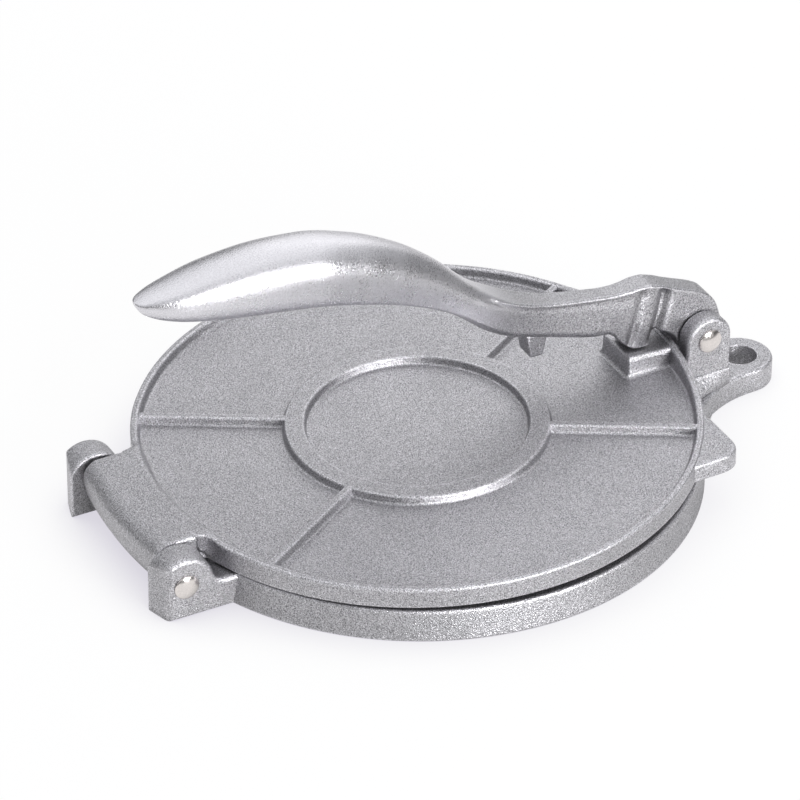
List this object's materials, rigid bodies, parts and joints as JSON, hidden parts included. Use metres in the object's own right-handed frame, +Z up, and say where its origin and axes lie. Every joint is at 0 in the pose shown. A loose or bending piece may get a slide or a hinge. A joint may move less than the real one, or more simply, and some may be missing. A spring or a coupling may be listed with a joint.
{
  "type": "dough press",
  "caption": "Cast aluminium dough press: round base, hinged ribbed lid and a swelling lever with a cam nub that pushes the lid down",
  "frame": {"origin": "centre of the base disc on the surface it stands on", "axes": "+X from the lid hinge to the lever pivot, +Z up, -Y the side with the finger tab"},
  "size_m": [0.2667, 0.205, 0.1126],
  "materials": {
    "cast_base": "cast",
    "cast_lid": "cast",
    "polished_lever": "polished",
    "steel_pin": "polished"
  },
  "bodies": {
    "base_body": {"base": "cast_base", "hinge_pin": "steel_pin", "lever_pin": "steel_pin"},
    "lid_body": {"lid": "cast_lid"},
    "lever_body": {"lever": "polished_lever"}
  },
  "joints": [
    {"name": "lever_pivot", "type": "hinge", "parent": "base_body", "child": "lever_body", "pos_m": [0.1121, 0, 0.0294], "axis": [0, 1, 0], "range_deg": [0, 160]},
    {"name": "lid_hinge", "type": "hinge", "parent": "base_body", "child": "lid_body", "pos_m": [-0.1114, 0, 0.013], "axis": [0, -1, 0], "range_deg": [-1.35, 170]}
  ],
  "couplings": [
    {"joint": "lid_hinge", "follows": "lever_pivot", "ratio": 0.088}
  ]
}
